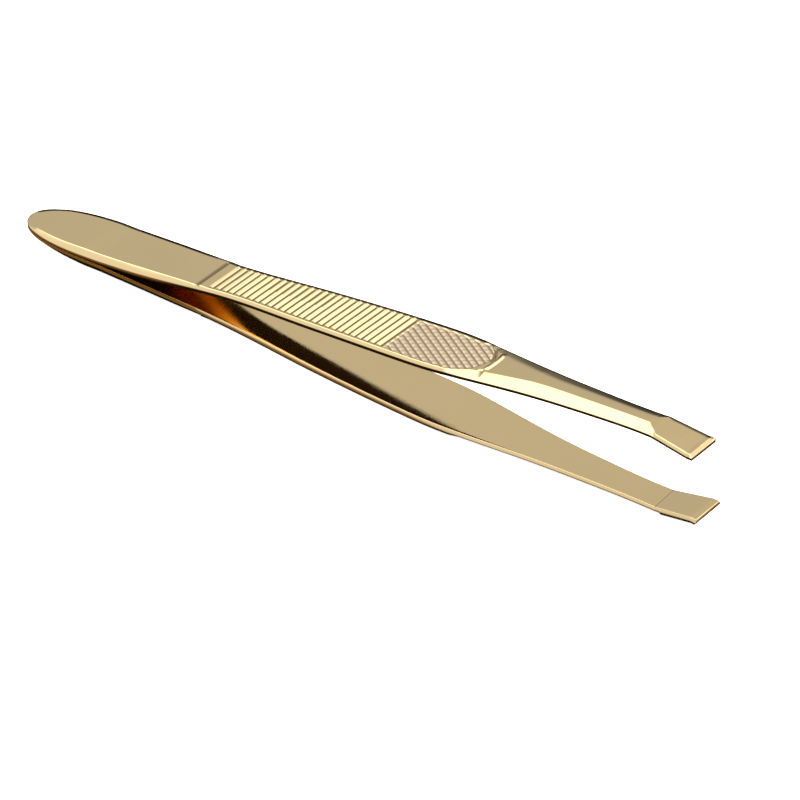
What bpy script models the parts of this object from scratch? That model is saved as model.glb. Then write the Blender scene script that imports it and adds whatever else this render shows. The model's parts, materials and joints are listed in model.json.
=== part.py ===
"""Tweezers: two bowed arms of sprung steel strip, mirror images, spot-welded face to face.

Run with:  blender --background --python part.py

Each arm is one stamping: a rounded tail, a springy flexure, a ribbed grip, a faceted neck and a
flared paddle tip that is folded inward. The arms touch only at the tail, where two weld nuggets
hold them, and they bow apart from there. Squeezing the grip bends both flexures and closes the
tips. An arm is built as a tail and a blade, divided at the middle of its flexure, so that the
blade can turn as one rigid piece.

Arm coordinates: x from the tail's end to the tip, y across the strip, z out from the plane
midway between the arms. In the finished part +X runs from tail to tips and +Z is up, and the
tweezers lie on their lower arm: on the tail and on the belly of the grip.
"""

import bisect
import math

import bmesh
import bpy
from mathutils import Matrix, Vector

# Driving dimensions, in metres.
LENGTH = 0.0940
GRIP_HALF_WIDTH = 0.00385
GAP = 0.0003  # left between pieces that touch on the real tweezers
INNER_INSET = 0.00015  # the inner face's edges are eased back a little
FLEXURE_X = 0.023  # where the arm's bending is gathered into one hinge
WELD_XS = {"rear": 0.0062, "front": 0.0107}
NUGGET_RADIUS = 0.0012

# The rounded tail: a superellipse from the end to the widest point.
TAIL_WIDEST_X = 0.0100
TAIL_HALF_WIDTH = 0.00357
TAIL_FULLNESS = 2.3
TAIL_STEPS = 12
TAIL_FIRST_ANGLE = math.radians(3)

# Ribs across the grip: a flat crest and a V groove, repeated. The hatched pad beyond them ends
# at a groove and a raised lip.
BAND_STEP_X = 0.0262  # a low step up, where the plain band before the ribs begins
BAND_STEP_DEPTH = 0.00006
RIBS_START = 0.0274
RIB_PITCH = 0.00093
RIB_COUNT = 27
RIB_CREST_SHARE = 0.5
RIB_DEPTH = 0.00014
LIP_X = 0.0653
LIP_LENGTH = 0.0008
LIP_HEIGHT = 0.00010
LIP_GROOVE = 0.0004

# The neck's flat top narrows to a ridge, which opens into the paddle's flat face across the
# fold. Skew is the x gained per unit of y by the strip's sections.
RIDGE_X = 0.0869
FOLD_X = 0.0880
FOLD_SKEW = -0.10
SKEW_START = 0.0840
PADDLE_FACE_X = 0.0889
PADDLE_EDGE_INSET = 0.00055
PADDLE_RISE = 0.00038
TIP_SKEW = -0.05

# The last stretch of the inner face is a ground land that lies flat on the other when closed.
LAND_LENGTH = 0.0008
LAND_HEIGHT = 0.00365

# Half-width of the strip from the tail's widest point to the tip.
OUTLINE = [
    (TAIL_WIDEST_X, TAIL_HALF_WIDTH),
    (0.0180, 0.00346),
    (0.0300, 0.00302),
    (0.0420, 0.00353),
    (0.0545, GRIP_HALF_WIDTH),
    (0.0600, 0.00376),
    (0.0713, 0.00262),
    (0.0780, 0.00220),
    (0.0860, 0.00197),
    (LENGTH, 0.00230),
]

# Height of the arm's inner face above the mid-plane: flat on the weld, bowed beyond it, and
# folded inward at the paddle.
INNER_FACE = [
    (0.0, GAP / 2),
    (0.0125, GAP / 2),
    (0.0180, 0.00038),
    (0.0240, 0.00087),
    (0.0300, 0.00144),
    (0.0360, 0.00190),
    (0.0480, 0.00268),
    (0.0600, 0.00332),
    (0.0720, 0.00388),
    (0.0850, 0.00430),
    (FOLD_X, 0.00436),
    (LENGTH - LAND_LENGTH, LAND_HEIGHT),
    (LENGTH, LAND_HEIGHT + LAND_LENGTH * LAND_HEIGHT / (LENGTH - FLEXURE_X)),
]

# Height of the strip's widest line above its inner face.
EDGE_HEIGHT = [
    (0.0, 0.00008),
    (0.0035, 0.00015),
    (TAIL_WIDEST_X, 0.00026),
    (0.0190, 0.00045),
    (0.0590, 0.00050),
    (FOLD_X, 0.00048),
    (LENGTH, 0.00042),
]

# Height of the outer face above that line: the tail's end is thinned, the grip is pressed
# thinner than the tail, and the neck is full again.
FACE_RISE = [
    (0.0, 0.00014),
    (0.0035, 0.00045),
    (TAIL_WIDEST_X, 0.00072),
    (0.0170, 0.00066),
    (BAND_STEP_X, 0.00048),
    (RIBS_START, 0.00038),
    (LIP_X, 0.00038),
    (0.0710, 0.00052),
    (RIDGE_X, 0.00052),
    (PADDLE_FACE_X, PADDLE_RISE),
    (LENGTH, PADDLE_RISE),
]

# How far the outer face's edge stands in from the strip's edge: a bevel along the tail and a
# narrow one along the grip, then the neck's wide facets.
FACE_INSET = [
    (0.0, 0.00033),
    (0.0050, 0.00045),
    (0.0190, 0.00045),
    (RIBS_START, 0.00018),
    (LIP_X - 0.0007, 0.00020),
    (LIP_X + 0.0014, 0.00162),
    (0.0694, 0.00176),
    (RIDGE_X, 0.00176),
    (PADDLE_FACE_X, PADDLE_EDGE_INSET),
    (LENGTH, PADDLE_EDGE_INSET),
]


def through(points, x):
    """Value at x of a smooth curve through (x, value) points."""
    i = min(max(bisect.bisect_right([p[0] for p in points], x) - 1, 0), len(points) - 2)

    def tangent(j):
        left = points[max(j - 1, 0)]
        right = points[min(j + 1, len(points) - 1)]
        return (right[1] - left[1]) / (right[0] - left[0])

    (x0, y0), (x1, y1) = points[i], points[i + 1]
    span = x1 - x0
    t = (x - x0) / span
    return (
        y0 * (1 + 2 * t) * (1 - t) ** 2
        + y1 * (3 - 2 * t) * t**2
        + tangent(i) * span * t * (1 - t) ** 2
        - tangent(i + 1) * span * (1 - t) * t**2
    )


def straight(points, x):
    """Value at x of the straight runs between (x, value) points."""
    i = min(max(bisect.bisect_right([p[0] for p in points], x) - 1, 0), len(points) - 2)
    (x0, y0), (x1, y1) = points[i], points[i + 1]
    return y0 + (y1 - y0) * (x - x0) / (x1 - x0)


def half_width(x):
    if x >= TAIL_WIDEST_X:
        return through(OUTLINE, x)
    reach = 1 - x / TAIL_WIDEST_X
    return TAIL_HALF_WIDTH * (1 - reach**TAIL_FULLNESS) ** (1 / TAIL_FULLNESS)


def inner_height(x):
    if x <= INNER_FACE[1][0] or x >= FOLD_X:
        return straight(INNER_FACE, x)
    return through(INNER_FACE[1:-2], x)


def skew(x):
    return straight([(0.0, 0), (SKEW_START, 0), (FOLD_X, FOLD_SKEW), (LENGTH, TIP_SKEW)], x)


def relief_stations():
    """(x, height) pairs of the outer face's ribs, step and lip, relative to the plain face."""
    stations = [(BAND_STEP_X, -BAND_STEP_DEPTH), (BAND_STEP_X + GAP, 0.0)]
    for rib in range(RIB_COUNT):
        crest = RIBS_START + rib * RIB_PITCH
        groove = crest + RIB_PITCH * (1 + RIB_CREST_SHARE) / 2
        stations += [(crest, 0.0), (crest + RIB_PITCH * RIB_CREST_SHARE, 0.0)]
        stations.append((groove, -RIB_DEPTH))
    pad_start = RIBS_START + RIB_COUNT * RIB_PITCH
    lip_start = LIP_X - LIP_LENGTH / 2
    stations += [(pad_start, 0.0), (lip_start - 2 * LIP_GROOVE, 0.0)]
    stations += [(lip_start - LIP_GROOVE, -RIB_DEPTH), (lip_start, LIP_HEIGHT)]
    stations += [(lip_start + LIP_LENGTH, LIP_HEIGHT), (lip_start + LIP_LENGTH + GAP, 0.0)]
    return stations


def arm_stations():
    """Every x at which the strip's cross-section is drawn, with the relief of its outer face."""
    stations = {}
    for step in range(TAIL_STEPS):
        share = step / (TAIL_STEPS - 1)
        angle = TAIL_FIRST_ANGLE + (math.pi / 2 - TAIL_FIRST_ANGLE) * share
        stations[TAIL_WIDEST_X * (1 - math.cos(angle) ** (2 / TAIL_FULLNESS))] = 0.0
    plain_runs = [(TAIL_WIDEST_X, BAND_STEP_X, 10)]
    plain_runs.append((RIBS_START + RIB_COUNT * RIB_PITCH, LIP_X - 3 * LIP_GROOVE, 6))
    plain_runs.append((LIP_X + LIP_LENGTH, RIDGE_X, 14))
    plain_runs.append((RIDGE_X, FOLD_X, 4))
    plain_runs.append((FOLD_X, PADDLE_FACE_X, 3))
    plain_runs.append((PADDLE_FACE_X, LENGTH - LAND_LENGTH, 5))
    plain_runs.append((LENGTH - LAND_LENGTH, LENGTH, 1))
    for start, end, count in plain_runs:
        for step in range(1, count + 1):
            stations[start + (end - start) * step / count] = 0.0
    stations.update(relief_stations())
    return sorted(stations.items())


def section(x, relief, side):
    """Six corners of the strip at x, on the upper (side 1) or the lower arm (side -1)."""
    edge_y = half_width(x)
    inner_y = edge_y - INNER_INSET
    face_y = edge_y - straight(FACE_INSET, x)
    inner = inner_height(x)
    edge = inner + straight(EDGE_HEIGHT, x)
    face = edge + straight(FACE_RISE, x) + relief
    outline = [(-inner_y, inner), (inner_y, inner), (edge_y, edge)]
    outline += [(face_y, face), (-face_y, face), (-edge_y, edge)]
    return [Vector((x + skew(x) * y, y, side * z)) for y, z in outline]


def run_of(stations, start, end):
    """The stations from start to end, with a section drawn exactly at both."""
    inside = [(x, relief) for x, relief in stations if start < x < end]
    return [(start, 0.0)] + inside + [(end, 0.0)]


def coated_steel(name, tint):
    material = bpy.data.materials.new(name)
    material.use_nodes = True
    shader = material.node_tree.nodes["Principled BSDF"]
    shader.inputs["Base Color"].default_value = (*tint, 1.0)
    shader.inputs["Metallic"].default_value = 1.0
    shader.inputs["Roughness"].default_value = 0.22
    return material


def add_part(name, bm, collection, rest, material, pivot=Vector()):
    """A mesh object whose origin is at pivot, given in arm coordinates."""
    bmesh.ops.translate(bm, verts=bm.verts, vec=-pivot)
    bmesh.ops.recalc_face_normals(bm, faces=bm.faces)
    mesh = bpy.data.meshes.new(name)
    bm.to_mesh(mesh)
    bm.free()
    if material:
        mesh.materials.append(material)
    part = bpy.data.objects.new(name, mesh)
    part.parent = rest
    part.location = pivot
    collection.objects.link(part)
    return part


def strip(stations, side):
    """A solid lofted through the strip's sections, capped at both ends."""
    bm = bmesh.new()
    rings = [[bm.verts.new(corner) for corner in section(x, r, side)] for x, r in stations]
    for ring, after in zip(rings, rings[1:]):
        for i in range(len(ring)):
            j = (i + 1) % len(ring)
            bm.faces.new((ring[i], ring[j], after[j], after[i]))
    bm.faces.new(rings[0])
    bm.faces.new(rings[-1])
    return bm


def disc(x, radius, half_height):
    bm = bmesh.new()
    bmesh.ops.create_cone(
        bm,
        cap_ends=True,
        segments=32,
        radius1=radius,
        radius2=radius,
        depth=2 * half_height,
        matrix=Matrix.Translation((x, 0, 0)),
    )
    return bm


def face_height(x):
    return inner_height(x) + straight(EDGE_HEIGHT, x) + straight(FACE_RISE, x)


def hinge_point(side):
    """The middle of the strip's thickness at the flexure."""
    middle = (inner_height(FLEXURE_X) + face_height(FLEXURE_X)) / 2
    return Vector((FLEXURE_X, 0, side * middle))


def build_arm(label, side, parts, cutters, rest, material):
    """One arm: its tail, with pockets for the weld nuggets, and its blade on the hinge."""
    stations = arm_stations()
    first, last = stations[0][0], stations[-1][0]
    tail_run = run_of(stations, first, FLEXURE_X - GAP / 2)
    blade_run = run_of(stations, FLEXURE_X + GAP / 2, last)
    tail = add_part(label + "_arm_tail", strip(tail_run, side), parts, rest, material)
    for cutter in cutters.objects:
        pocket = tail.modifiers.new("weld_pocket", "BOOLEAN")
        pocket.operation = "DIFFERENCE"
        pocket.object = cutter
    add_part(
        label + "_arm_blade", strip(blade_run, side), parts, rest, material, hinge_point(side)
    )


def build_welds(parts, cutters, rest, material):
    for label, x in WELD_XS.items():
        nugget = disc(x, NUGGET_RADIUS, GAP / 2)
        add_part("spot_weld_" + label, nugget, parts, rest, material)
        pocket = disc(x, NUGGET_RADIUS + GAP, GAP * 3 / 2)
        cutter = add_part("pocket_" + label, pocket, cutters, rest, None)
        cutter.hide_render = True
        cutter.display_type = "WIRE"


def resting_slope():
    """Slope of the line that the lower arm rests on: the chord of its outer face that passes
    furthest outside the face at the balance point, between a point behind it and one ahead."""
    stations = [x for x, relief in arm_stations()]
    runs = list(zip(stations, stations[1:]))
    weights = [(b - a) * half_width(a) * (face_height(a) - inner_height(a)) for a, b in runs]
    balance = sum(w * (a + b) / 2 for w, (a, b) in zip(weights, runs)) / sum(weights)
    chords = []
    for behind in (x for x in stations if x < balance):
        for ahead in (x for x in stations if x > balance):
            slope = (face_height(ahead) - face_height(behind)) / (ahead - behind)
            chords.append((face_height(behind) + slope * (balance - behind), slope))
    return max(chords)[1]


def lay_down(rest, pieces):
    """Pitch the arms until the lower one lies on its outer face, with the origin under the
    middle of the tweezers."""
    rest.rotation_euler.y = -math.atan(resting_slope())
    bpy.context.view_layer.update()
    corners = [piece.matrix_world @ v.co for piece in pieces for v in piece.data.vertices]
    middle = (min(c.x for c in corners) + max(c.x for c in corners)) / 2
    rest.location = Vector((-middle, 0, -min(c.z for c in corners)))


def new_collection(name):
    collection = bpy.data.collections.new(name)
    bpy.context.scene.collection.children.link(collection)
    return collection


def main():
    for old in list(bpy.data.objects):
        bpy.data.objects.remove(old, do_unlink=True)
    parts = new_collection("tweezers")
    cutters = new_collection("cutters")
    rest = bpy.data.objects.new("resting_pose", None)
    parts.objects.link(rest)
    build_welds(parts, cutters, rest, coated_steel("weld_steel", (0.42, 0.33, 0.20)))
    build_arm("upper", 1, parts, cutters, rest, coated_steel("upper_gold", (0.72, 0.56, 0.33)))
    build_arm("lower", -1, parts, cutters, rest, coated_steel("lower_gold", (0.69, 0.53, 0.31)))
    pieces = [part for part in parts.objects if part.type == "MESH"]
    lay_down(rest, pieces)


main()
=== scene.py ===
"""Visual model of the tweezers: two arms of gold-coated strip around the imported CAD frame.

Each arm is one lofted mesh in arm coordinates, in millimetres: x from the tail's end to the
tip, y across the strip, z out from the plane midway between the arms. The two hinges of the
frame give that plane's place. An arm bends across its flexure, from the welded tail to its
own blade.
"""

import bisect
import json
import math

import bpy
import numpy as np
from mathutils import Matrix, Vector


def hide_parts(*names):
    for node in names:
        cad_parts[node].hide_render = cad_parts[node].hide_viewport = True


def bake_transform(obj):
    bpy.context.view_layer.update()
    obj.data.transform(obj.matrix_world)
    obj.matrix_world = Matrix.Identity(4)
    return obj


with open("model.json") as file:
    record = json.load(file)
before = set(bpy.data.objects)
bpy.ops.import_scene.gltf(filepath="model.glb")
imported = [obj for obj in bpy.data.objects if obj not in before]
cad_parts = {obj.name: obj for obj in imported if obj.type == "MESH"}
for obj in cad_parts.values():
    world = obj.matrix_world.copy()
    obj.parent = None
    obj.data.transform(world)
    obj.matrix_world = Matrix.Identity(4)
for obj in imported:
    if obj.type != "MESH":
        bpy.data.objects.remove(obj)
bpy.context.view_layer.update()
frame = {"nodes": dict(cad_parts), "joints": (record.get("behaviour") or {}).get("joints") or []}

MM = 0.001

# ---- The arm's shape, in millimetres ------------------------------------------------------
LENGTH = 94.0
FLEXURE_X = 23.0  # of the hinges of the frame
INNER_INSET = [(20.0, 0.02), (28.0, 0.10), (55.0, 0.11), (64.0, 0.15)]
PAINTED_REFLECTION_END = (25.0, 33.0)  # painted brown reflection on the inner faces, from the tail's end to here
SEAM = 0.012  # from the plane midway to each arm's inner face, where the tails touch
CAD_SEAM = 0.15  # the same in the CAD, whose tails stand clear of each other
SEAM_OPEN = (7.0, 20.0)  # the inner face goes over to that of the CAD

TAIL_WIDEST_X = 10.0
TAIL_HALF_WIDTH = 3.57
TAIL_FULLNESS = 2.3  # exponent of the rounded end: 2 is an ellipse

BAND_STEP_X = 26.2
BAND_RAMP_X = 21.5  # the plain face sinks from here to the foot of the step
BAND_STEP_DEPTH = 0.10
BAND_STEP_LENGTH = 0.14
SHADE_LINE_X = BAND_STEP_X - 0.05  # painted shade: a dark line at the foot of the step
SHADE_LINE_REACH = 0.30
RIBS_START = 27.4
RIB_PITCH = 0.93
RIB_COUNT = 27
RIB_CREST_SHARE = 0.42
RIB_SLOPE = 0.122  # drop along a crest, towards the tips
RIB_GROOVE = 0.05  # what the groove adds below the crest's low end
GROOVE_DROP_SHARE = 0.2  # share of the groove's width that goes down to its floor
GROOVE_CLIMB_SHARE = 0.3  # and up from there to the next crest
RIB_EDGE_NEAR = (0.15, 0.45)  # the ribs run out this far inside the face's edge
RIB_EDGE_FAR = (-0.15, 0.0)
PAD_START = RIBS_START + RIB_COUNT * RIB_PITCH

PAD_END = 64.65  # where the hatched pad's rounded end crosses the middle
PAD_END_BOW = 0.19  # x lost per square millimetre of y
HATCH_PITCH = 0.73
HATCH_SLANT = math.radians(31)
HATCH_DEPTH = 0.12
HATCH_NARROWNESS = 2.6  # exponent: more makes narrower grooves
CROSS_HATCH_DEPTH = 0.045
CROSS_HATCH_RISE = 0.78  # share of the pitch that slopes gently
HATCH_FADE_START = (0.15, 0.27)  # the hatching sets in this far past the ribs,
HATCH_FADE_END = (0.10, 0.30)  # this far inside the pad's rounded end,
HATCH_FADE_EDGE = (0.02, 0.24)  # and this far inside the face's edge
END_GROOVE_DEPTH = 0.20
END_GROOVE_WIDTH = 0.42
END_GROOVE_FADE = (-0.2, 1.0)  # in y: it is cut on the far side only
LIP_X = 65.38
LIP_BOW = 0.05  # x lost per square millimetre of y
LIP_HEIGHT = 0.145
LIP_WIDTH = 0.42
LIP_NEAR_FADE, LIP_FAR_FADE = (-1.5, -1.1), (2.2, 1.6)  # in y
PIT = (65.05, -1.95)  # a small pit where the near end of the lip meets the facet
PIT_RADIUS = 0.34
PIT_DEPTH = 0.16

RIDGE_X = 86.9
FOLD_X = 88.0
SKEW_START = 84.0
FOLD_SKEW = -0.10  # x gained per y: the fold and the tip run a little aslant
TIP_SKEW = -0.05
LAND_LENGTH = 0.8  # the ground flat on which the tips meet
LAND_HEIGHT = 3.65
END_BEVEL = 0.30
END_EASE = 0.06  # chamfer around the very end
CREASE_DEPTH = 0.015  # across the inner face at the fold
CREASE_WIDTH = 0.14
CREASE_SHADE = 0.7  # as deep as this in a groove, for the colour

# Stations of the strip: x with the half-width, the inner face's height, how far the widest
# edge lies over the inner face, how far the outer face lies over the widest edge, and how
# far inside the outline the outer face begins.
OUTLINE = [
    (TAIL_WIDEST_X, TAIL_HALF_WIDTH),
    (18.0, 3.46),
    (30.0, 3.02),
    (42.0, 3.53),
    (54.5, 3.85),
    (60.0, 3.76),
    (71.3, 2.62),
    (78.0, 2.20),
    (86.0, 1.97),
    (LENGTH, 2.30),
]

INNER_FACE = [
    (0.0, CAD_SEAM),
    (12.5, CAD_SEAM),
    (18.0, 0.38),
    (24.0, 0.87),
    (30.0, 1.44),
    (36.0, 1.90),
    (48.0, 2.68),
    (60.0, 3.32),
    (72.0, 3.88),
    (85.0, 4.30),
    (FOLD_X, 4.36),
    (LENGTH - LAND_LENGTH, LAND_HEIGHT),
    (LENGTH, LAND_HEIGHT + LAND_LENGTH * LAND_HEIGHT / (LENGTH - FLEXURE_X)),
]

EDGE_HEIGHT = [
    (0.0, 0.08),
    (3.5, 0.15),
    (TAIL_WIDEST_X, 0.26),
    (19.0, 0.45),
    (59.0, 0.50),
    (FOLD_X, 0.48),
    (LENGTH, 0.42),
]

FACE_RISE = [
    (0.0, 0.14),
    (3.5, 0.445),
    (TAIL_WIDEST_X, 0.72),
    (17.0, 0.66),
    (BAND_STEP_X, 0.48),
    (RIBS_START, 0.38),
    (65.3, 0.38),
    (71.0, 0.52),
    (RIDGE_X, 0.505),
    (FOLD_X, 0.38),
    (LENGTH - END_BEVEL, 0.38),
    (LENGTH, -0.02),
]

FACE_INSET = [
    (0.0, 0.40),
    (5.0, 0.42),
    (19.0, 0.42),
    (RIBS_START, 0.20),
    (61.2, 0.22),
    (62.2, 0.45),
    (63.4, 0.95),
    (64.3, 1.25),
    (65.9, 1.40),
    (67.2, 1.48),
    (68.8, 1.54),
    (72.0, 1.70),
    (78.0, 1.74),
    (RIDGE_X, 1.64),
    (88.8, 0.17),
    (LENGTH, 0.17),
]

# ---- How finely the arm is drawn ----------------------------------------------------------
INNER_SHARES = [0.0, 0.4, 0.75, 0.93, 1.0]
FACE_COLUMNS = 36
FILLET_STEPS = 4
INNER_CORNER = [(22.0, 0.015), (30.0, 0.05)]  # reach of the rounding, from the tail forward
WIDEST_CORNER = 0.08
NEAR_CORNER = 0.07
FAR_CORNER = [(64.0, 0.07), (68.0, 0.65), (86.0, 0.65), (88.5, 0.07)]
# The far side has a shallow facet outside the face, which turns down sharply at a shoulder.
SHOULDER_SHARE = [(61.5, 1.0), (64.5, 0.0), (87.0, 0.0), (88.8, 1.0)]
END_SHOULDER_SHARE = [(1.2, 1.0), (4.0, 0.0)]  # on the near side, around the tail's end
SHOULDER_INSET = 0.05
SHOULDER_DROP = 0.27
FAR_FACE_INSET = 0.80
RELIEF_FADE = 0.15  # the relief runs out this far outside the face's edge
# No step of the section takes more than these shares of what it is cut from.
MOST_OF_WIDTH, MOST_OF_WIDTH_FAR, MOST_OF_WIDTH_INSIDE = 0.7, 0.75, 0.3
MOST_OF_RISE = 0.8
MOST_OF_SIDE = 0.45
BEVEL_TURN = 0.3  # how far along a straight bevel its unused corner lies
TAIL_STEPS = 46
STEPS_PER_RIB = 14
SLOPE_SPAN = 0.05  # over which the outline's slope is measured
INNER_MARGIN = 0.03  # points this close to the inner face's height belong to it
SHARP_ANGLE = math.radians(38)  # edges sharper than this keep a crisp shade


def through(points, x):
    """Value at x of a smooth curve through (x, value) points."""
    i = min(max(bisect.bisect_right([p[0] for p in points], x) - 1, 0), len(points) - 2)

    def tangent(j):
        left = points[max(j - 1, 0)]
        right = points[min(j + 1, len(points) - 1)]
        return (right[1] - left[1]) / (right[0] - left[0])

    (x0, y0), (x1, y1) = points[i], points[i + 1]
    span = x1 - x0
    t = (x - x0) / span
    return (
        y0 * (1 + 2 * t) * (1 - t) ** 2
        + y1 * (3 - 2 * t) * t**2
        + tangent(i) * span * t * (1 - t) ** 2
        - tangent(i + 1) * span * (1 - t) * t**2
    )


def straight(points, x):
    """Value at x of straight lines through (x, value) points."""
    return float(np.interp(x, [p[0] for p in points], [p[1] for p in points]))


def smooth(t):
    t = np.clip(t, 0, 1)
    return t * t * (3 - 2 * t)


def eased(value, span):
    """Smooth rise from 0 to 1 while value goes from span's first number to its second."""
    return smooth((value - span[0]) / (span[1] - span[0]))


def half_width(x):
    """Half-width of the strip, and its slope along x."""
    if x >= TAIL_WIDEST_X:
        slope = (through(OUTLINE, x + SLOPE_SPAN) - through(OUTLINE, x - SLOPE_SPAN)) / (
            2 * SLOPE_SPAN
        )
        return through(OUTLINE, x), slope
    reach = 1 - x / TAIL_WIDEST_X
    full = 1 - reach**TAIL_FULLNESS
    width = TAIL_HALF_WIDTH * full ** (1 / TAIL_FULLNESS)
    slope = (
        TAIL_HALF_WIDTH
        / TAIL_WIDEST_X
        * full ** (1 / TAIL_FULLNESS - 1)
        * reach ** (TAIL_FULLNESS - 1)
    )
    return width, slope


def cad_inner(x):
    """Height of the CAD's inner face."""
    if x <= INNER_FACE[1][0] or x >= FOLD_X:
        return straight(INNER_FACE, x)
    return through(INNER_FACE[1:-2], x)


def inner_height(x):
    """Height of the visible inner face, which closes on the other arm's at the tail."""
    closing = 1 - float(eased(x, SEAM_OPEN))
    return cad_inner(x) - (CAD_SEAM - SEAM) * closing


def edge_height(x):
    return cad_inner(x) + straight(EDGE_HEIGHT, x)


def face_height(x):
    return edge_height(x) + straight(FACE_RISE, x)


def skew(x):
    """How far aslant the section at x stands: x gained per y."""
    return straight([(0, 0), (SKEW_START, 0), (FOLD_X, FOLD_SKEW), (LENGTH, TIP_SKEW)], x)


def bump(distance, width):
    """A smooth hill of height 1 at distance 0, gone at distance width."""
    return smooth(1 - np.abs(distance) / width)


def pad_end(y):
    """x of the pad's rounded end."""
    return PAD_END - PAD_END_BOW * y * y


def ribs(x, y, from_edge):
    """Saw-tooth ribs across the grip: height and depth in a groove."""
    phase = (x - RIBS_START) / RIB_PITCH
    turn = phase - np.floor(phase)
    along = turn / RIB_CREST_SHARE
    crest = -RIB_SLOPE * along
    past = (turn - RIB_CREST_SHARE) / (1 - RIB_CREST_SHARE)
    climb = np.clip((1 - past) / GROOVE_CLIMB_SHARE, 0, 1)
    groove = np.minimum(np.clip(past / GROOVE_DROP_SHARE, 0, 1), climb)
    floor = -RIB_SLOPE * climb - RIB_GROOVE * groove
    on_ribs = (phase > 0) & (phase < RIB_COUNT)
    near, far = eased(from_edge, RIB_EDGE_NEAR), eased(from_edge, RIB_EDGE_FAR)
    share = np.where(on_ribs, np.where(y > 0, far, near), 0.0)
    height = np.where(along < 1, crest, floor) * share
    depth = np.where(along < 1, 0.0, smooth(groove * 1.3)) * share
    return height, depth


def hatching(x, y, from_edge):
    """The pad's slanting grooves, with scales along the ridges between them: height, depth in
    a groove, and how far inside the pad."""
    inside = eased(x - PAD_START, HATCH_FADE_START) * eased(pad_end(y) - x, HATCH_FADE_END)
    inside = inside * eased(from_edge, HATCH_FADE_EDGE)
    rise, run = math.cos(HATCH_SLANT) / HATCH_PITCH, math.sin(HATCH_SLANT) / HATCH_PITCH
    wave = np.cos(2 * np.pi * (rise * y + run * (x - PAD_START)))
    groove = (0.5 + 0.5 * wave) ** HATCH_NARROWNESS
    turn = np.mod(rise * y - run * (x - PAD_START), 1.0)
    scale = np.where(
        turn < CROSS_HATCH_RISE, turn / CROSS_HATCH_RISE, (1 - turn) / (1 - CROSS_HATCH_RISE)
    )
    height = -inside * (HATCH_DEPTH * groove + CROSS_HATCH_DEPTH * (1 - scale) * (1 - groove))
    return height, inside * groove, inside


def relief(x, y, from_edge):
    """How far the outer face lies above (+) or below (-) its plain height; how much painted
    shade it takes, from 0 to 1, by how deep in a groove it is; and how matte. from_edge is the
    distance inside the face's edge."""
    ramp = np.clip((x - BAND_RAMP_X) / (BAND_STEP_X - BAND_RAMP_X), 0, 1)
    before_step = eased(x, (BAND_STEP_X + BAND_STEP_LENGTH, BAND_STEP_X))
    step = -BAND_STEP_DEPTH * ramp**2 * before_step
    # painted shade: a dark line at the step's foot, carried only in the depth
    shade_line = smooth(1.5 - np.abs(x - SHADE_LINE_X) / SHADE_LINE_REACH)
    rib_height, rib_depth = ribs(x, y, from_edge)
    hatch_height, hatch_depth, matte = hatching(x, y, from_edge)

    end_groove = bump(x - pad_end(y), END_GROOVE_WIDTH) * eased(y, END_GROOVE_FADE)
    lip = bump(x - LIP_X + LIP_BOW * y * y, LIP_WIDTH)
    lip = lip * eased(y, LIP_NEAR_FADE) * eased(y, LIP_FAR_FADE)
    pit = smooth(1.3 - np.hypot(x - PIT[0], y - PIT[1]) / PIT_RADIUS)

    height = step + rib_height + hatch_height + LIP_HEIGHT * lip
    height = height - END_GROOVE_DEPTH * end_groove - PIT_DEPTH * pit
    depth = np.maximum.reduce([rib_depth, hatch_depth, end_groove, pit, shade_line])
    return height, depth, matte


def fillet(before, corner, after, reach):
    """Points of a rounded corner."""
    before, corner, after = (np.array(p, float) for p in (before, corner, after))
    into, out = before - corner, after - corner
    into_length, out_length = np.linalg.norm(into), np.linalg.norm(out)
    reach = min(reach, MOST_OF_SIDE * into_length, MOST_OF_SIDE * out_length)
    start = corner + into / into_length * reach
    end = corner + out / out_length * reach
    return [
        (1 - t) ** 2 * start + 2 * t * (1 - t) * corner + t * t * end
        for t in np.linspace(0, 1, FILLET_STEPS)
    ]


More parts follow.
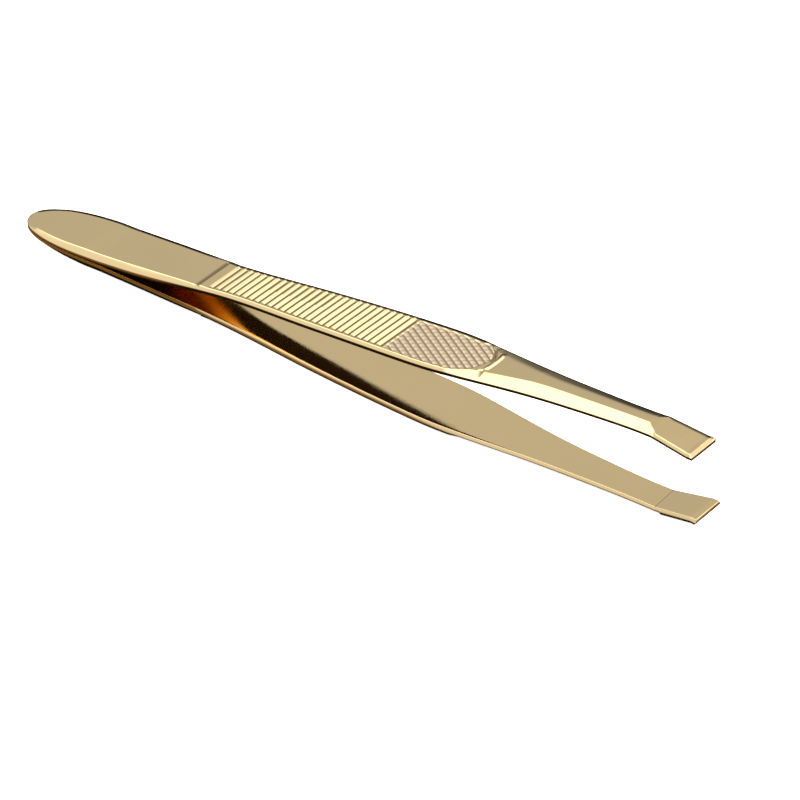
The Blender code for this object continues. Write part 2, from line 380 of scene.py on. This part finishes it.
def half_section(x, far):
    """One side of the strip's section, from the middle of the inner face round to the middle
    of the outer face: x, y, z, the share of the face's relief that each point takes, and how
    far inside the face's edge it is."""
    width, slope = half_width(x)
    ease = max(0.0, x - (LENGTH - END_EASE))
    width -= ease
    across = 1 / math.hypot(1, slope)
    along = slope * across
    inset = min(straight(FACE_INSET, x), MOST_OF_WIDTH * width)
    shoulder = straight(SHOULDER_SHARE if far else END_SHOULDER_SHARE, x)
    inset = max(inset, min(FAR_FACE_INSET * shoulder, MOST_OF_WIDTH_FAR * width))
    inner_inset = min(straight(INNER_INSET, x), MOST_OF_WIDTH_INSIDE * width)
    crease = CREASE_DEPTH * float(bump(x - FOLD_X, CREASE_WIDTH))
    inner = inner_height(x + inner_inset * along) + ease + crease
    edge = edge_height(x)
    face = face_height(x + inset * along)
    drop = min(SHOULDER_DROP, MOST_OF_RISE * (face - edge))
    on_bevel = Vector((BEVEL_TURN * inset, edge + BEVEL_TURN * (face - edge)))
    turn = on_bevel.lerp(Vector((min(SHOULDER_INSET, 0.1 * inset), face - drop)), shoulder)
    corners = [(inner_inset + 1, inner), (inner_inset, inner), (0.0, edge), tuple(turn)]
    corners += [(inset, face), (inset + 1, face)]
    profile = []
    face_corner = straight(FAR_CORNER, x) if far else NEAR_CORNER
    reaches = (straight(INNER_CORNER, x), WIDEST_CORNER, WIDEST_CORNER, face_corner)
    for i, reach in enumerate(reaches, start=1):
        profile += fillet(corners[i - 1], corners[i], corners[i + 1], reach)
    profile = np.array(profile)
    points = [[x + d * along, width - d * across, z] for d, z in profile]
    share = eased(profile[:, 0] - inset, (-RELIEF_FADE, 0))
    share[: 3 * FILLET_STEPS] = 0
    inner_edge, face_edge = points[0], points[-1]
    rows = [[inner_edge[0], inner_edge[1] * s, inner_edge[2], 0, 0] for s in INNER_SHARES[:-1]]
    rows += [[*p, s, d - inset] for p, s, d in zip(points, share, profile[:, 0])]
    for column in range(1, FACE_COLUMNS + 1):
        rest = 1 - column / FACE_COLUMNS
        inside = profile[-1, 0] - inset + face_edge[1] * (1 - rest)
        rows.append([face_edge[0], face_edge[1] * rest, face_edge[2], 1, inside])
    return np.array(rows)


def spaced(start, end, step):
    """Even steps of about the given size, from after start up to end."""
    count = max(1, round((end - start) / step))
    return [start + (end - start) * i / count for i in range(1, count + 1)]


def stations():
    """Every x at which a section is drawn."""
    xs = []
    for i in range(TAIL_STEPS):
        angle = math.radians(1.2 + 88.8 * i / (TAIL_STEPS - 1))
        xs.append(TAIL_WIDEST_X * (1 - math.cos(angle) ** (2 / TAIL_FULLNESS)))
    xs += spaced(TAIL_WIDEST_X, BAND_STEP_X - 0.2, 0.45)
    xs += spaced(BAND_STEP_X - 0.2, BAND_STEP_X + 0.5, 0.045)
    xs += spaced(BAND_STEP_X + 0.5, RIBS_START, 0.1)
    xs += spaced(RIBS_START, PAD_START, RIB_PITCH / STEPS_PER_RIB)
    xs += spaced(PAD_START, PAD_END + 1.6, 0.07)
    xs += spaced(PAD_END + 1.6, 72.0, 0.18)
    xs += spaced(72.0, 85.5, 0.4)
    xs += spaced(85.5, FOLD_X - 0.3, 0.1)
    xs += spaced(FOLD_X - 0.3, FOLD_X + 0.3, 0.04)
    xs += spaced(FOLD_X + 0.3, LENGTH - LAND_LENGTH - 0.1, 0.1)
    xs += spaced(LENGTH - LAND_LENGTH - 0.1, LENGTH - END_EASE, 0.04)
    xs += spaced(LENGTH - END_EASE, LENGTH, 0.035)
    return xs


def arm_axes():
    """Origin, length axis and outward axis of arm coordinates, from the two hinges."""
    hinges = {joint["name"]: Vector(joint["pos_m"]) for joint in frame["joints"]}
    upper, lower = hinges["upper_arm_flex"], hinges["lower_arm_flex"]
    out = (upper - lower).normalized()
    along = Vector((out.z, 0, -out.x))
    return (upper + lower) / 2 - along * FLEXURE_X * MM, along, out


ORIGIN, ALONG, OUT = arm_axes()


def placed(x, y, z):
    """The row-frame point of an arm point given in millimetres."""
    return ORIGIN + (ALONG * x + Vector((0, 1, 0)) * y + OUT * z) * MM


def arm_mesh(name, side):
    """The whole arm, on the upper (side 1) or the lower (side -1) side, with attributes for
    how much painted groove shade, how much painted brown reflection and how matte each point is."""
    rings, groove_shades, reflection_shares, mattes = [], [], [], []
    for x in stations():
        far = half_section(x, far=True)
        near = half_section(x, far=False)[-2:0:-1] * np.array([1, -1, 1, 1, 1])
        ring = np.vstack([far, near])
        lift, depth, matte = relief(ring[:, 0], ring[:, 1], ring[:, 4])
        ring[:, 2] += lift * ring[:, 3]
        crease = float(bump(x - FOLD_X, CREASE_WIDTH))
        on_inner_face = ring[:, 2] < inner_height(x) + INNER_MARGIN
        # painted shade: darker in grooves and, on the inner face, in the fold's crease
        groove_shade = np.where(on_inner_face, CREASE_SHADE * crease, depth * ring[:, 3])
        groove_shades.append(groove_shade)
        # painted reflection: the inner faces near the tail take a brown that stands for the arms
        # mirrored in each other
        reflection_share = 1 - eased(x, PAINTED_REFLECTION_END)
        reflection_shares.append(np.where(on_inner_face, reflection_share, 0.0))
        mattes.append(np.where(on_inner_face, 0.0, matte * ring[:, 3]))
        tilt = np.array([skew(px) for px in ring[:, 0]])
        ring[:, 0] += tilt * ring[:, 1]
        rings.append(ring[:, :3])
    count = len(rings[0])
    points = np.vstack(rings)
    points[:, 2] *= side
    axes = np.array([ALONG, (0, 1, 0), OUT])
    points = points @ axes * MM + np.array(ORIGIN)
    faces = []
    for i in range(len(rings) - 1):
        for j in range(count):
            k = (j + 1) % count
            quad = [i * count + j, i * count + k, (i + 1) * count + k, (i + 1) * count + j]
            faces.append(quad if side > 0 else quad[::-1])
    first = list(range(count))
    last = [(len(rings) - 1) * count + j for j in range(count)]
    faces.append(first[::-1] if side > 0 else first)
    faces.append(last if side > 0 else last[::-1])
    mesh = bpy.data.meshes.new(name)
    mesh.from_pydata(points.tolist(), [], faces)
    for label, values in (("groove_shade", groove_shades), ("painted_reflection", reflection_shares), ("matte", mattes)):
        attribute = mesh.attributes.new(label, "FLOAT", "POINT")
        attribute.data.foreach_set("value", np.concatenate(values).astype(np.float32))
    mesh.shade_smooth()
    mesh.set_sharp_from_angle(angle=SHARP_ANGLE)
    piece = bpy.data.objects.new(name, mesh)
    bpy.context.scene.collection.objects.link(piece)
    return piece


# ---- Materials ----------------------------------------------------------------------------
PALE_GOLD, WARM_GOLD = (0.965, 0.742, 0.385), (0.99, 0.775, 0.43)
# Painted reflection: brown on the inner faces beside the weld, for the arms mirrored in each
# other.
PAINTED_REFLECTION_BROWN = (0.62, 0.34, 0.06)
FROSTED_GOLD = (0.96, 0.755, 0.515)
# Painted shade: grooves, the pit, the fold's crease and a line at the step's foot are darkened
# towards this brown.
GROOVE_SHADE_BROWN = (0.20, 0.16, 0.08)
GROOVE_SHADE_STRENGTH = 0.75
GROOVE_SHADE_FROM = 0.25  # shallower than this no shade is painted
NOISE_RANGE = (0.3, 0.7)  # most of what a noise texture gives
POLISHED_ROUGHNESS = (0.04, 0.08)
REFLECTION_PATCH_ROUGHNESS = 0.14  # added beside the weld
FROSTED_ROUGHNESS = 0.29  # added on the pad
GRAIN_SCALE, GRAIN_ASPECT = 700.0, 22.0  # the grain is drawn out along the strip
CLOUD_SCALE = 160.0
WELD_DARK, WELD_BRIGHT = (0.30, 0.26, 0.21), (0.55, 0.48, 0.38)
WELD_MOTTLE_SCALE = 2500.0
WELD_ROUGHNESS = (0.35, 0.60)
FLOOR_TONES = (0.90, 0.90, 0.90), (0.93, 0.93, 0.93)
FLOOR_GLOW = 0.75
FLOOR_DROP = 0.0002  # in metres, below the arms
FLOOR_REACH = 6.0
FLOOR_CORNERS = (-1, -1), (1, -1), (1, 1), (-1, 1)


def new_material(name):
    material = bpy.data.materials.new(name)
    material.use_nodes = True
    return material, material.node_tree.nodes, material.node_tree.links


def node(nodes, kind, **settings):
    made = nodes.new(kind)
    for key, value in settings.items():
        setattr(made, key, value)
    return made


def noise(nodes, links, vector, scale, detail=3.0):
    texture = node(nodes, "ShaderNodeTexNoise")
    texture.inputs["Scale"].default_value = scale
    texture.inputs["Detail"].default_value = detail
    links.new(vector, texture.inputs["Vector"])
    return texture.outputs["Fac"]


def map_range(nodes, links, value, low, high, to_low, to_high):
    made = node(nodes, "ShaderNodeMapRange")
    made.inputs["From Min"].default_value = low
    made.inputs["From Max"].default_value = high
    made.inputs["To Min"].default_value = to_low
    made.inputs["To Max"].default_value = to_high
    links.new(value, made.inputs["Value"])
    return made.outputs["Result"]


def mix_colour(nodes, links, factor, first, second):
    made = node(nodes, "ShaderNodeMix", data_type="RGBA")
    for value, socket in ((factor, 0), (first, 6), (second, 7)):
        if isinstance(value, (tuple, float)):
            constant = value if isinstance(value, float) else (*value, 1)
            made.inputs[socket].default_value = constant
        else:
            links.new(value, made.inputs[socket])
    return made.outputs[2]


def gold_steel():
    """Polished pale gold coating with a faint lengthwise grain, painted shade in the grooves,
    frosted on the pad and a painted brown reflection on the inner faces beside the weld."""
    material, nodes, links = new_material("gold_coated_steel")
    shader = nodes["Principled BSDF"]
    shader.inputs["Metallic"].default_value = 1.0
    coordinates = node(nodes, "ShaderNodeTexCoord")
    stretch = node(nodes, "ShaderNodeMapping")
    stretch.inputs["Scale"].default_value = (1.0, GRAIN_ASPECT, GRAIN_ASPECT)
    links.new(coordinates.outputs["Object"], stretch.inputs["Vector"])
    grain = noise(nodes, links, stretch.outputs["Vector"], GRAIN_SCALE, 5.0)
    cloud = noise(nodes, links, coordinates.outputs["Object"], CLOUD_SCALE)

    groove_shade, reflection_share, matte = (
        node(nodes, "ShaderNodeAttribute", attribute_name=name).outputs["Fac"]
        for name in ("groove_shade", "painted_reflection", "matte")
    )
    plain = mix_colour(nodes, links, cloud, PALE_GOLD, WARM_GOLD)
    # painted shade, darker the deeper in a groove
    shade_share = map_range(nodes, links, groove_shade, GROOVE_SHADE_FROM, 1.0, 0.0, GROOVE_SHADE_STRENGTH)
    # painted reflection: brown on the inner faces beside the weld
    with_reflection = mix_colour(nodes, links, reflection_share, plain, PAINTED_REFLECTION_BROWN)
    frosted = mix_colour(nodes, links, matte, with_reflection, FROSTED_GOLD)
    colour = mix_colour(nodes, links, shade_share, frosted, GROOVE_SHADE_BROWN)
    links.new(colour, shader.inputs["Base Color"])

    roughness = map_range(nodes, links, grain, *NOISE_RANGE, *POLISHED_ROUGHNESS)
    for share, added in ((reflection_share, REFLECTION_PATCH_ROUGHNESS), (matte, FROSTED_ROUGHNESS)):
        total = node(nodes, "ShaderNodeMath", operation="MULTIPLY_ADD")
        links.new(share, total.inputs[0])
        total.inputs[1].default_value = added
        links.new(roughness, total.inputs[2])
        roughness = total.outputs["Value"]
    links.new(roughness, shader.inputs["Roughness"])
    relief_map = node(nodes, "ShaderNodeBump")
    relief_map.inputs["Strength"].default_value = 0.10
    relief_map.inputs["Distance"].default_value = 0.00002
    links.new(grain, relief_map.inputs["Height"])
    links.new(relief_map.outputs["Normal"], shader.inputs["Normal"])
    return material


def fused_steel():
    """Dull, mottled steel of a weld nugget."""
    material, nodes, links = new_material("weld_steel")
    shader = nodes["Principled BSDF"]
    shader.inputs["Metallic"].default_value = 1.0
    coordinates = node(nodes, "ShaderNodeTexCoord")
    mottle = noise(nodes, links, coordinates.outputs["Object"], WELD_MOTTLE_SCALE, 6.0)
    colour = mix_colour(nodes, links, mottle, WELD_DARK, WELD_BRIGHT)
    links.new(colour, shader.inputs["Base Color"])
    roughness = map_range(nodes, links, mottle, *NOISE_RANGE, *WELD_ROUGHNESS)
    links.new(roughness, shader.inputs["Roughness"])
    relief_map = node(nodes, "ShaderNodeBump")
    relief_map.inputs["Strength"].default_value = 0.4
    relief_map.inputs["Distance"].default_value = 0.00003
    links.new(mottle, relief_map.inputs["Height"])
    links.new(relief_map.outputs["Normal"], shader.inputs["Normal"])
    return material


# ---- Stage, light and camera --------------------------------------------------------------
def build_floor():
    mesh = bpy.data.meshes.new("floor")
    corners = [(x * FLOOR_REACH, y * FLOOR_REACH, 0) for x, y in FLOOR_CORNERS]
    mesh.from_pydata(corners, [], [(0, 1, 2, 3)])
    floor = bpy.data.objects.new("floor", mesh)
    bpy.context.scene.collection.objects.link(floor)
    floor.location.z = -FLOOR_DROP
    material, nodes, links = new_material("pale_floor")
    shader = nodes["Principled BSDF"]
    shader.inputs["Roughness"].default_value = 1.0
    shader.inputs["Specular IOR Level"].default_value = 0.0
    coordinates = node(nodes, "ShaderNodeTexCoord")
    tone = noise(nodes, links, coordinates.outputs["Object"], 3.0)
    colour = mix_colour(nodes, links, tone, *FLOOR_TONES)
    links.new(colour, shader.inputs["Base Color"])
    shader.inputs["Emission Color"].default_value = (1.0, 1.0, 1.0, 1.0)
    shader.inputs["Emission Strength"].default_value = FLOOR_GLOW
    mesh.materials.append(material)
    floor.visible_glossy = False


def grey(value, warmth=0.0):
    return (value * (1 + warmth), value, value * (1 - warmth))


DARK = (0.012, 0.008, 0.004)
BROWN = (0.20, 0.12, 0.05)
TOWARDS_NEAR_WALL = (0.63, -0.78, 0.0)
WALL_CHANGE = (-0.76, -0.56)  # along that direction, where the far wall becomes the near one
# Radiance by the height of the direction, from -1 straight down to 1 straight up.
WALL_FAR = [
    (-0.12, DARK),
    (-0.03, grey(0.06)),
    (0.05, grey(0.12)),
    (0.15, grey(0.32, 0.02)),
    (0.32, grey(0.50)),
    (0.68, grey(0.55, 0.02)),
    (0.74, grey(1.00)),
    (0.87, grey(1.9)),
    (1.0, grey(1.5)),
]
WALL_NEAR = [
    (-0.70, DARK),
    (-0.60, BROWN),
    (-0.30, BROWN),
    (-0.15, grey(0.74)),
    (0.30, grey(0.84, 0.01)),
    (0.50, grey(1.2)),
    (0.64, grey(2.1)),
    (1.0, grey(1.5)),
]


def build_world():
    """A studio for the metal to reflect: bright overhead, pale walls and a dark floor. The
    wall behind the object (WALL_FAR) is darker than the one behind the camera (WALL_NEAR)."""
    world = bpy.data.worlds.new("studio")
    bpy.context.scene.world = world
    world.use_nodes = True
    nodes, links = world.node_tree.nodes, world.node_tree.links
    background = nodes["Background"]
    coordinates = node(nodes, "ShaderNodeTexCoord")
    split = node(nodes, "ShaderNodeSeparateXYZ")
    links.new(coordinates.outputs["Generated"], split.inputs["Vector"])
    ramps = []
    for stops in (WALL_FAR, WALL_NEAR):
        ramp = node(nodes, "ShaderNodeValToRGB")
        ramp.color_ramp.interpolation = "EASE"
        while len(ramp.color_ramp.elements) < len(stops):
            ramp.color_ramp.elements.new(0.5)
        for element, (height, tone) in zip(ramp.color_ramp.elements, stops):
            element.position = (height + 1) / 2
            element.color = (*tone, 1)
        height = map_range(nodes, links, split.outputs["Z"], -1.0, 1.0, 0.0, 1.0)
        links.new(height, ramp.inputs["Fac"])
        ramps.append(ramp.outputs["Color"])
    around = node(nodes, "ShaderNodeVectorMath", operation="DOT_PRODUCT")
    around.inputs[1].default_value = TOWARDS_NEAR_WALL
    links.new(coordinates.outputs["Generated"], around.inputs[0])
    nearness = map_range(nodes, links, around.outputs["Value"], *WALL_CHANGE, 0.0, 1.0)
    links.new(mix_colour(nodes, links, nearness, *ramps), background.inputs["Color"])
    background.inputs["Strength"].default_value = 1.0


LIGHT_SIZE = 1.2
LIGHT_POWER = 12.0
LIGHT_PLACE = (-0.15, -0.10, 1.6)


def build_light():
    data = bpy.data.lights.new("soft_box", "AREA")
    data.shape = "DISK"
    data.size = LIGHT_SIZE
    data.energy = LIGHT_POWER
    light = bpy.data.objects.new("soft_box", data)
    light.location = LIGHT_PLACE
    light.visible_glossy = False
    bpy.context.scene.collection.objects.link(light)


VIEW_AZIMUTH = math.radians(-40.08)
VIEW_ELEVATION = math.radians(35.07)
VIEW_ROLL = math.radians(-1.04)
VIEW_DISTANCE = 2.0  # in metres
VIEW_WIDTH = 0.08574  # in metres, across the picture at the aim point
AIM_X = LENGTH / 2
AIM_SHIFT = (0.003806, -0.005707)  # in metres, to the right and up


def build_camera():
    azimuth, elevation, roll = VIEW_AZIMUTH, VIEW_ELEVATION, VIEW_ROLL
    forward = Vector(
        (
            math.cos(elevation) * math.sin(azimuth),
            math.cos(elevation) * math.cos(azimuth),
            -math.sin(elevation),
        )
    )
    level = Vector((math.cos(azimuth), -math.sin(azimuth), 0))
    rise = level.cross(forward)
    right = level * math.cos(roll) + rise * math.sin(roll)
    up = rise * math.cos(roll) - level * math.sin(roll)
    aim = placed(AIM_X, 0, 0) + right * AIM_SHIFT[0] + up * AIM_SHIFT[1]
    data = bpy.data.cameras.new("camera")
    data.sensor_width = 36.0
    data.lens = data.sensor_width * VIEW_DISTANCE / VIEW_WIDTH
    data.clip_start = 0.05
    data.clip_end = 20.0
    camera = bpy.data.objects.new("camera", data)
    turn = Matrix((right, up, -forward)).transposed()
    camera.matrix_world = Matrix.Translation(aim - forward * VIEW_DISTANCE) @ turn.to_4x4()
    bpy.context.scene.collection.objects.link(camera)
    bpy.context.scene.camera = camera


def build_arms(material):
    """Both arms, each in place of its two CAD nodes and bent between their two bodies."""
    for label, side in (("upper", 1), ("lower", -1)):
        arm = arm_mesh(label + "_arm", side)
        arm.data.materials.append(material)
        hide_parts(label + "_arm_tail", label + "_arm_blade")
        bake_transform(arm)


def paint_node(name, material):
    """Give a carried CAD node a material."""
    slots = frame["nodes"][name].data.materials
    slots.clear()
    slots.append(material)


def main():
    build_arms(gold_steel())
    weld = fused_steel()
    for name in ("spot_weld_front", "spot_weld_rear"):
        paint_node(name, weld)
    build_floor()
    build_world()
    build_light()
    build_camera()
    bpy.context.scene.view_settings.view_transform = "Standard"


main()
